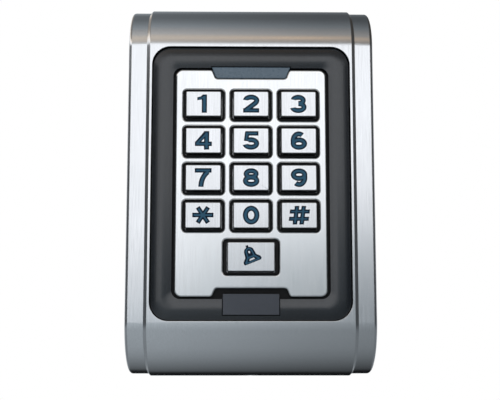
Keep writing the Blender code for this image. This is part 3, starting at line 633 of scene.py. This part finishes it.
def make_bezel():
    """The black moulding: crowned ring, floor, collars round the keys, posts for the board."""
    wells = [rounded_rect(size[0] / 2 + KEY_CLEARANCE, size[1] / 2 + KEY_CLEARANCE, KEY_CORNER, 3, x, z)
             for _, x, z, size, _ in key_places()]
    slab = extruded("bezel_ring", [rounded_rect(*SLAB_OUTLINE)] + wells, SLAB_BACK, FLOOR_TOP)
    step = extruded("step", [rounded_rect(*STEP_OUTLINE), rounded_rect(*RING_OUTER)],
                    SLAB_TOP, FLOOR_TOP + 1)
    boolean(slab, [step])
    rings = [(*RING_OUTER, SLAB_TOP - SUNK)]
    rows = 24
    for i in range(rows + 1):
        part = i / rows
        size = [a + (b - a) * part for a, b in zip(RING_OUTER, RING_INNER)]
        rings.append((*size, RING_EDGE + RING_CROWN * math.sin(math.pi * part)))
    rings.append((*RING_INNER, SLAB_TOP - SUNK))
    ring = loft("ring", rings, closed=True)
    parts = []
    for (label, x, z, size, hole), well in zip(key_places(), wells):
        outline = rounded_rect(hole[0] / 2 - COLLAR_GAP, hole[1] / 2 - COLLAR_GAP, OPENING_R - 0.2,
                               6, x, z)
        collar = extruded("collar", [outline, well], FLOOR_TOP - SUNK, COLLAR_TOP)
        parts.append(applied(bevelled(collar, 0.15)))
    for x, z in four_places(POST_X, POST_Z):
        post = [arc(x, z, radius, radius, 0, 360, 24)[:-1] for radius in (POST_R, POST_BORE_R)]
        parts.append(extruded("post", post, POST_BACK, SLAB_BACK + SUNK))
    boolean(slab, parts, 'UNION')
    for piece in (ring, slab):
        boolean(piece, [extruded("seat", [trapezoid(place, SEAT_GAP)], FLOOR_TOP, PAST_RING)
                        for place in (LENS, SENSOR_WINDOW)])
    boolean(slab, [box("led_slot", (-10.5, 10.5), (35.3, 38.2), 20.0, 24.0),
                   box("sensor_slot", (-4.0, 4.0), (-42.6, -38.2), 20.0, 24.0)])
    show(tidy_mesh(ring), RING_PLASTIC, "bezel_plastic", READER)
    show(tidy_mesh(slab), BEZEL_PLASTIC, "bezel_plastic", READER, "bezel_frame")


def plate_outline():
    """Outline of the plate with its two notches, anticlockwise from the upper right corner."""
    corners = rounded_rect(PLATE_HALF_W, PLATE_HALF_H, PLATE_R, 8)
    lens, notch = trapezoid(LENS, LENS_GAP), trapezoid(NOTCH)
    slope = (lens[0][0] - lens[3][0]) / (lens[0][1] - lens[3][1])
    at_top = lens[3][0] + slope * (PLATE_HALF_H - lens[3][1])
    spread = (notch[3][0] - notch[0][0]) / (notch[0][1] - notch[3][1])
    at_foot = notch[0][0] + spread * (notch[0][1] + PLATE_HALF_H)
    upper = [(at_top, PLATE_HALF_H), lens[3], lens[2], (-at_top, PLATE_HALF_H)]
    lower = [(-at_foot, -PLATE_HALF_H), notch[1], notch[0], (at_foot, -PLATE_HALF_H)]
    outline = corners[:9] + upper + corners[9:27] + lower + corners[27:]
    return softened(outline, NOTCH_SOFT, [i for i, point in enumerate(outline) if point in upper + lower])


def moved_in(outline, inset):
    """The outline with every side moved to its left by an inset."""
    points = []
    for i, (x, z) in enumerate(outline):
        (x0, z0), (x1, z1) = outline[i - 1], outline[(i + 1) % len(outline)]
        first = Vector((z0 - z, x - x0)).normalized()
        second = Vector((z - z1, x1 - x)).normalized()
        middle = first + second
        points.append((x + middle.x * inset * 2 / middle.length_squared,
                       z + middle.y * inset * 2 / middle.length_squared))
    return points


def make_plate():
    """The metal plate, with soft edges round its outline, notches and openings."""
    loops = [plate_outline()]
    for _, x, z, _, hole in key_places():
        loops.append(rounded_rect(hole[0] / 2, hole[1] / 2, OPENING_R, 6, x, z)[::-1])
    cage = bmesh.new()
    caps = ([], [])
    edge = [(inset, PLATE_FRONT - drop) for inset, drop in quarter(PLATE_ROUND, 8)]
    for outline in loops:
        rows = skin(cage, [[(x, depth, z) for x, z in moved_in(outline, inset)]
                           for inset, depth in [(0.0, PLATE_BACK)] + edge])
        for cap, row in zip(caps, (rows[0], rows[-1])):
            cap.extend(cage.edges.get((row[i - 1], corner)) for i, corner in enumerate(row))
    for cap in caps:
        bmesh.ops.triangle_fill(cage, edges=cap, use_beauty=True, use_dissolve=True)
    plate = from_cage("plate", cage)
    show(plate, PLATE_METAL, "plate_metal", READER, "keypad_plate")


def make_lens():
    """The status lens: a trapezoid with soft corners and edges."""
    outline = softened(trapezoid(LENS), 0.7, (2, 3))
    edge = [(inset, LENS_FRONT - drop) for inset, drop in quarter(LENS_ROUND, 5)]
    rows = [[(x, depth, z) for x, z in moved_in(outline, inset)]
            for inset, depth in [(0.0, LENS_BACK)] + edge]
    show(skinned("lens_cover", rows), LENS_RESIN, "lens_resin", READER, "status_lens")


# -------------------------------------------------------------------- legends

def bar(x0, y0, x1, y1, width):
    """Outline of a straight stroke with square ends."""
    length = math.hypot(x1 - x0, y1 - y0)
    nx, ny = -(y1 - y0) / length * width / 2, (x1 - x0) / length * width / 2
    return [[(x0 + nx, y0 + ny), (x0 - nx, y0 - ny), (x1 - nx, y1 - ny), (x1 + nx, y1 + ny)]]


def bow(cx, cy, rx, ry, start, end, width, steps=28):
    """Outline of a stroke along an elliptical arc."""
    half = width / 2
    outer = arc(cx, cy, rx + half, ry + half, start, end, steps)
    inner = arc(cx, cy, rx - half, ry - half, start, end, steps)
    return [outer + inner[::-1]]


def loop(cx, cy, rx, ry, width, steps=40):
    """Outline of a closed oval stroke."""
    half = width / 2
    return [arc(cx, cy, rx + half, ry + half, 0, 360, steps)[:-1],
            arc(cx, cy, rx - half, ry - half, 0, 360, steps)[:-1]]


def moved(strokes, rule):
    """The same strokes with a rule applied to each point."""
    return [[[rule(x, y) for x, y in outline] for outline in stroke] for stroke in strokes]


def tilted(strokes, degrees, shift):
    """The same strokes, rotated anticlockwise and then shifted."""
    c, s = math.cos(math.radians(degrees)), math.sin(math.radians(degrees))
    return moved(strokes, lambda x, y: (c * x - s * y + shift[0], s * x + c * y + shift[1]))


BELL_POSE = (22, (-0.3, 0.65))


def bell_strokes():
    """A hand bell that leans to the left: dome and skirt with a counter each, a knob on top."""
    body = arc(0, 1.1, 1.65, 1.45, 15, 165, 16) + [(-1.9, -0.5), (-2.9, -1.5), (-3.1, -2.1), (-2.8, -2.7),
                                                   (2.8, -2.7), (3.1, -2.1), (2.9, -1.5), (1.9, -0.5)]
    upper = arc(0, 0.85, 0.30, 0.42, 0, 360, 20)[:-1]
    lower = [(-0.95, -1.8), (0.95, -1.8), (0.7, -1.3), (-0.7, -1.3)]
    return tilted([[body, upper, lower], bar(0, 2.3, 0, 3.2, 0.85)], *BELL_POSE)


def bell_core_strokes():
    """The lighter line inside the bell's own outline."""
    return tilted([bow(0, 1.0, 0.95, 1.05, 0, 180, 0.4, 14), bar(-0.95, 1.05, -1.1, -0.8, 0.4),
                   bar(0.95, 1.05, 1.1, -0.8, 0.4), bar(-1.3, -0.75, 1.3, -0.75, 0.5),
                   bar(-2.5, -2.25, 2.5, -2.25, 0.4), bar(-1.2, -0.8, -2.3, -2.2, 0.5),
                   bar(1.2, -0.8, 2.3, -2.2, 0.5)], *BELL_POSE)


def glyph_strokes(label, width):
    """Strokes of one legend at a stroke width, each a list of an outline and its holes."""
    trim = (STROKE - width) / 2
    top = GLYPH_HALF_H
    end = top - trim
    mid = top - STROKE / 2
    side = 1.85
    thin = width - 0.22
    if label == "bell":
        return bell_core_strokes() if trim else bell_strokes()
    six = [loop(0, -1.0, side, 1.24, width), bow(0, 0, side, mid, 52 + 12 * trim, 205, width)]
    if trim:
        one = [bar(0.25, -end, 0.25, end, width), bar(0.25, 2.2, -1.7, 1.65, 0.5)]
    else:
        one = [[[(1.1, -top), (1.1, top), (-0.35, top), (-0.9, 2.45), (-2.1, 2.15), (-2.1, 1.15),
                 (-0.6, 1.35), (-0.6, -top)]]]
    shapes = {
        "0": [loop(0, 0, side, mid, width)],
        "1": one,
        "2": [bow(0, 1.05, side, mid - 1.05, 172 - 20 * trim, -38, width),
              bar(1.6, 0.4, -1.85, -2.3, width),
              bar(-2.65 + trim, -mid, 2.65 - trim, -mid, thin)],
        "3": [bow(-0.1, 1.18, 1.65, mid - 1.18, 168 - 20 * trim, -90, width),
              bow(-0.1, -1.08, 1.9, mid - 1.08, 90, 20 * trim - 168, width)],
        "4": [bar(1.05, -end, 1.05, end, width), bar(-2.8 + trim, -1.15, 2.8 - trim, -1.15, thin),
              bar(-2.15, -1.05, 0.95, 2.6 - trim, thin)],
        "5": [bar(-1.75, 2.38, 2.4 - trim, 2.38, thin), bar(-1.25, 2.9 - trim, -1.65, -0.2 + trim, thin),
              bow(-0.1, -1.0, 1.9, mid - 1.0, 125, 20 * trim - 165, width)],
        "6": six,
        "7": [bar(-2.75 + trim, 2.35, 2.75 - trim, 2.35, thin),
              bow(3.4, -top, 4.1, 5.5, 180 - 6 * trim, 114, width)],
        "8": [loop(0, 1.24, 1.6, mid - 1.24, width), loop(0, -1.05, side, mid - 1.05, width)],
        "9": moved(six, lambda x, y: (-x, -y)),
        "star": [bar(-3.45 + trim, 0, 3.45 - trim, 0, thin),
                 bar(-1.7 + 0.5 * trim, -2.55 + trim, 1.7 - 0.5 * trim, 2.55 - trim, thin),
                 bar(-1.7 + 0.5 * trim, 2.55 - trim, 1.7 - 0.5 * trim, -2.55 + trim, thin)],
        "hash": moved([bar(x, -3.05 + trim, x, 3.05 - trim, thin) for x in (-1.1, 1.1)]
                      + [bar(-3.25 + trim, y, 3.25 - trim, y, width - 0.37) for y in (-1.2, 1.2)],
                      lambda x, y: (x + 0.13 * y, y)),
    }
    return shapes[label]


def glyph_solid(name, label, x, z, low, high, width):
    """The strokes of a legend as one united solid; a stagger keeps their ends off one plane."""
    pieces = []
    for index, stroke in enumerate(glyph_strokes(label, width)):
        placed = [[(x + px, z + pz) for px, pz in outline] for outline in stroke]
        pieces.append(extruded(name, placed, low - index * STAGGER, high + index * STAGGER))
    solid = pieces[0]
    if len(pieces) > 1:
        boolean(solid, pieces[1:], 'UNION')
    return solid


def make_key(label, x, z, size):
    """A metal cap with rounded edges and an engraved legend, filled with a lighter blue core inside a dark
    blue edge; the dark edge is partly the paint's own meniscus and partly painted shade of the engraving's
    walls.
    """
    body = f"key_{label}"
    half_w, half_h = size[0] / 2, size[1] / 2
    flange = (half_w + KEY_FLANGE, half_h + KEY_FLANGE, 2 * KEY_CORNER)
    shaft = (half_w, half_h, KEY_CORNER)
    rings = [(*flange, KEY_FLANGE_BACK), (*flange, KEY_FLANGE_FRONT), (*shaft, KEY_FLANGE_FRONT + 0.001),
             (*shaft, PLATE_FRONT)]
    for inward, drop in quarter(KEY_ROUND, 5):
        inset = KEY_DRAFT + inward
        rings.append((half_w - inset, half_h - inset, KEY_CORNER - inset / 3, KEY_FRONT - drop))
    cap = loft(f"cap_{label}", rings, closed=False, steps=6, centre=(x, z))
    floor = KEY_FRONT - ENGRAVING
    boolean(cap, [glyph_solid("engraving", label, x, z, floor, KEY_FRONT + 0.5, STROKE)])
    show(tidy_mesh(cap), KEY_METAL, "key_metal", body, f"key_{label}")
    # The dark legend solid shows as a rim round the lighter core: painted shade of the engraving's walls,
    # partly the paint's own meniscus
    fill = glyph_solid(f"legend_meniscus_shade_{label}", label, x, z, floor + 0.05, KEY_FRONT - 0.10, STROKE)
    show(tidy_mesh(fill), INLAY_MENISCUS_SHADE, "legend_inlay", body, f"legend_{label}")
    core = glyph_solid(f"legend_core_{label}", label, x, z, floor + 0.1, KEY_FRONT - 0.07, CORE_STROKE)
    show(tidy_mesh(core), INLAY_BLUE, "legend_inlay", body)


# --------------------------------------------------------- screws and the rest

def make_security_screw():
    """Button-head screw with a six-lobed recess and a centre pin."""
    place = Matrix.Translation((0.0, -SECURITY_DEPTH * SCALE, 0.0))
    head_r, shank_r, rim, tip = 2.5, 1.2, -62.6, -58.75
    dome = [(head_r * math.cos(math.radians(a)), rim - 0.15 - math.sin(math.radians(a)))
            for a in range(80, -1, -10)]
    outline = [(0.0, rim - 1.15)] + dome + [(head_r, rim), (shank_r, rim), (shank_r, tip - 0.45),
                                            (shank_r - 0.4, tip), (0.0, tip)]
    screw = turned("tamper_screw", outline, 48, place)
    lobes, steps = [], 72
    for i in range(steps):
        turn = 2 * math.pi * (i + 0.3) / steps
        reach = 1.15 + 0.2 * math.cos(6 * turn)
        lobes.append((reach * math.cos(turn), reach * math.sin(turn)))
    pin = arc(0, 0, 0.4, 0.4, 2, 362, 24)[:-1]
    recess = extruded("recess", [lobes, pin], -65.0, -63.0, turn=(0, 0, 0))
    recess.data.transform(place)
    boolean(screw, [recess])
    show(tidy_mesh(screw), SCREW_STEEL, "screw_steel", READER, "security_screw")


def dress(material, *nodes, width=0.0, segments=2):
    """Give CAD nodes their finish, and round their edges where they show."""
    for name in nodes:
        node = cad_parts[name]
        node.data.materials.clear()
        node.data.materials.append(material)
        if width:
            bevelled(node, width, segments)
        weigh_normals(node)


def dress_cad_nodes():
    """Finishes of the pieces whose CAD shape is already right."""
    dress(SMOKED_RESIN, "sensor_window", width=0.35, segments=4)
    dress(RUBBER, "silicone_mat", "rear_gasket")
    dress(RUBBER, "cable_grommet", width=0.15)
    dress(BOARD, "circuit_board")
    dress(COPPER, "antenna_coil")
    dress(LED_RESIN, "status_led_left", "status_led_middle", "status_led_right", "window_sensor")
    dress(COMPONENT, "microcontroller", "relay", "buzzer")
    dress(HEADER, "wire_header")
    dress(SENSOR_RESIN, "tamper_sensor")
    dress(COVER_PLASTIC, "rear_cover", width=0.15)
    dress(ZINC, "wall_plate", width=0.18)
    for index in range(1, 5):
        dress(SCREW_STEEL, f"board_screw_{index}", f"cover_screw_{index}")


# --------------------------------------------------------- camera and studio

FOCAL_PIXELS, IMAGE_WIDTH = 946.0, 500.0


def make_camera():
    """Camera below the middle of the reader, looking slightly up."""
    azimuth, elevation, distance = math.radians(-0.8), math.radians(-7.75), 0.310
    aim = Vector((-0.000355, -0.026, -0.00627))
    level = math.cos(elevation)
    back = Vector((math.sin(azimuth) * level, -math.cos(azimuth) * level, math.sin(elevation)))
    data = bpy.data.cameras.new("camera")
    data.sensor_width = 36.0
    data.lens = FOCAL_PIXELS / IMAGE_WIDTH * data.sensor_width
    data.clip_start, data.clip_end = 0.01, 50.0
    camera = bpy.data.objects.new("camera", data)
    camera.location = aim + back * distance
    camera.rotation_euler = (-back).to_track_quat('-Z', 'Y').to_euler()
    bpy.context.scene.collection.objects.link(camera)
    bpy.context.scene.camera = camera


def make_floor():
    """A plain pale floor, well below the wall-mounted reader."""
    cage = bmesh.new()
    bmesh.ops.create_grid(cage, x_segments=8, y_segments=8, size=1.6,
                          matrix=Matrix.Translation((0, 0, -0.6)))
    floor = from_cage("floor", cage)
    s = Shader("floor_paint")
    s.set(Roughness=0.9, **{"Emission Color": (1.0, 1.0, 1.0, 1.0), "Emission Strength": 0.35})
    s.colour(s.spread(s.noise((1.0, 1.0, 1.0), 3.0), 0.86, 0.9))
    floor.data.materials.append(s.material)
    floor.visible_glossy = False


# Brightness of the studio against the angle round the X axis, in degrees: 0 is level in front of the
# reader, 90 straight up and 180 level behind it
FRONT_LEVELS = ((-180, 0.50), (-172, 0.35), (-165, 0.0), (-147, 0.01), (-138, 0.08), (-112, 0.16),
                (-94, 0.22), (-70, 0.28), (-38, 0.31), (-22, 0.31), (-8, 0.38), (1, 0.42), (3.5, 0.50),
                (5, 0.68), (7, 0.98), (10, 1.15), (22, 1.18), (24.5, 0.34), (31, 0.36), (38, 0.44),
                (45, 0.43), (53, 0.37), (63, 0.30), (76, 0.235), (91, 0.165), (107, 0.115),
                (128, 0.115), (165, 0.35), (180, 0.50))
# The sides are graded against the height above the horizon instead
LEFT_LEVELS = ((-90, 0.16), (-60, 0.19), (-40, 0.20), (-12, 0.24), (-3, 0.08), (17, 0.06), (22, 1.0),
               (30, 1.0), (36, 0.26), (60, 0.18), (75, 0.13), (90, 0.12))
RIGHT_LEVELS = ((-90, 0.13), (-50, 0.18), (-14, 0.17), (-4, 0.06), (14, 0.06), (40, 0.04), (70, 0.06),
                (90, 0.1))
COOL, BRIGHT, WARM, NEUTRAL = (0.90, 1.0, 1.07), (0.98, 1.0, 1.03), (1.10, 0.99, 0.87), (1.0, 1.0, 0.99)
LAMP_COLOUR, REAR_COLOUR, WHITE = (0.80, 0.56, 0.36, 1.0), (0.55, 0.57, 0.60, 1.0), (1.0, 1.0, 1.0, 1.0)
RISE, FALL = (0.0, 1.0), (1.0, 0.0)


def tint(angle):
    """The studio's colour at an angle: cool low down and overhead, warmer between the two."""
    if angle < 6 or angle > 70:
        return COOL
    if angle < 30:
        return BRIGHT
    if angle < 50:
        return WARM
    return NEUTRAL


class Studio:
    """The world's node tree with short calls for the nodes that grade its light."""

    def __init__(self, name):
        world = bpy.data.worlds.new(name)
        bpy.context.scene.world = world
        world.use_nodes = True
        self.nodes = world.node_tree.nodes
        self.links = world.node_tree.links

    def calc(self, operation, *values):
        """A sum on sockets and plain numbers."""
        node = self.nodes.new("ShaderNodeMath")
        node.operation = operation
        for socket, value in zip(node.inputs, values):
            if isinstance(value, (int, float)):
                socket.default_value = value
            else:
                self.links.new(value, socket)
        return node.outputs["Value"]

    def mapped(self, value, source, target):
        """A smooth step from one range to another."""
        node = self.nodes.new("ShaderNodeMapRange")
        node.interpolation_type = 'SMOOTHSTEP'
        for key, number in zip(("From Min", "From Max", "To Min", "To Max"), (*source, *target)):
            node.inputs[key].default_value = number
        self.links.new(value, node.inputs["Value"])
        return node.outputs["Result"]

    def between(self, value, rise, fall):
        """1 between two smooth steps and 0 outside them."""
        return self.calc('MULTIPLY', self.mapped(value, rise, RISE), self.mapped(value, fall, FALL))

    def levels(self, turn, stops, reach):
        """Tinted brightness against an angle; turn runs from 0 to 1 over -reach to reach degrees."""
        node = self.nodes.new("ShaderNodeValToRGB")
        elements = node.color_ramp.elements
        while len(elements) < len(stops):
            elements.new(0.5)
        for element, (angle, level) in zip(elements, stops):
            element.position = angle / reach * 0.5 + 0.5
            element.color = (*(level * part for part in tint(angle)), 1.0)
        self.links.new(turn, node.inputs["Fac"])
        return node.outputs["Color"]

    def blend(self, factor, first, second):
        """Blend two colours, the second given as a socket or as a plain colour."""
        node = self.nodes.new("ShaderNodeMix")
        node.data_type = 'RGBA'
        self.links.new(factor, node.inputs["Factor"])
        self.links.new(first, node.inputs[MIX_FIRST])
        if isinstance(second, tuple):
            node.inputs[MIX_SECOND].default_value = second
        else:
            self.links.new(second, node.inputs[MIX_SECOND])
        return node.outputs[MIX_RESULT]

    def scaled(self, colour, kept, gain):
        """A colour times a gain, except where it is to be kept."""
        node = self.nodes.new("ShaderNodeMix")
        self.links.new(kept, node.inputs["Factor"])
        self.links.new(gain, node.inputs["A"])
        node.inputs["B"].default_value = 1.0
        product = self.nodes.new("ShaderNodeVectorMath")
        product.operation = 'SCALE'
        self.links.new(colour, product.inputs[0])
        self.links.new(node.outputs["Result"], product.inputs["Scale"])
        return product.outputs["Vector"]


def make_world():
    """A white studio: a bright band in front of and above the reader with grey round it, darker sides,
    and lighter corners behind."""
    sky = Studio("studio")
    coordinates = sky.nodes.new("ShaderNodeTexCoord")
    split = sky.nodes.new("ShaderNodeSeparateXYZ")
    sky.links.new(coordinates.outputs["Generated"], split.inputs["Vector"])
    across, depth, height = split.outputs
    angle = sky.calc('ARCTAN2', height, sky.calc('MULTIPLY', depth, -1.0))
    # The band's lower edge dips towards the left
    sway = sky.mapped(across, (-0.14, 0.0), radians(6.8, 0.0))
    near = sky.between(angle, radians(-2, 2.5), radians(9, 18))
    angle = sky.calc('ADD', angle, sky.calc('MULTIPLY', sway, near))
    # Outside the band the left is lighter than the right
    turn = sky.calc('MULTIPLY_ADD', angle, 0.5 / math.pi, 0.5)
    band = sky.between(angle, radians(2, 8), radians(21, 24))
    front = sky.scaled(sky.levels(turn, FRONT_LEVELS, 180), band,
                       sky.mapped(across, (-0.14, 0.14), (1.28, 0.66)))
    # A warm lamp shows in the upper roll, right of the middle
    lamp = sky.calc('MULTIPLY', sky.between(angle, radians(33, 40), radians(41, 48)),
                    sky.between(across, (-0.02, 0.06), (0.08, 0.11)))
    front = sky.blend(lamp, front, LAMP_COLOUR)
    climb = sky.calc('MULTIPLY_ADD', sky.calc('ARCSINE', height), 1.0 / math.pi, 0.5)
    colour = sky.blend(sky.mapped(across, (-0.17, -0.40), RISE), front, sky.levels(climb, LEFT_LEVELS, 90))
    colour = sky.blend(sky.mapped(across, (0.21, 0.45), RISE), colour, sky.levels(climb, RIGHT_LEVELS, 90))
    behind = sky.calc('MULTIPLY', sky.mapped(depth, (0.20, 0.45), RISE),
                      sky.mapped(sky.calc('ABSOLUTE', across), (0.25, 0.45), RISE))
    behind = sky.calc('MULTIPLY', behind, sky.mapped(sky.calc('ABSOLUTE', height), (0.22, 0.40), FALL))
    colour = sky.blend(behind, colour, REAR_COLOUR)
    # The camera sees plain white
    path = sky.nodes.new("ShaderNodeLightPath")
    colour = sky.blend(path.outputs["Is Camera Ray"], colour, WHITE)
    sky.links.new(colour, sky.nodes["Background"].inputs["Color"])


def softbox(name, place, size, power):
    """A square area light that faces the reader."""
    data = bpy.data.lights.new(name, 'AREA')
    data.size = size
    data.energy = power
    lamp = bpy.data.objects.new(name, data)
    lamp.location = place
    lamp.rotation_euler = (-Vector(place)).to_track_quat('-Z', 'Y').to_euler()
    lamp.visible_glossy = False
    bpy.context.scene.collection.objects.link(lamp)


def make_lights():
    """Soft boxes: one high on the left, a weaker one on the right, one over the floor."""
    softbox("key_light", (-0.9, -1.1, 1.3), 0.7, 14.0)
    softbox("fill_light", (1.3, -1.0, 0.5), 0.9, 4.0)
    softbox("floor_light", (0.0, -0.6, 2.6), 2.5, 90.0)


make_camera()
make_world()
make_floor()
make_lights()
bpy.context.scene.view_settings.view_transform = 'Standard'
make_case()
make_bezel()
make_plate()
make_lens()
for key_label, key_x, key_z, key_size, _ in key_places():
    make_key(key_label, key_x, key_z, key_size)
make_security_screw()
dress_cad_nodes()
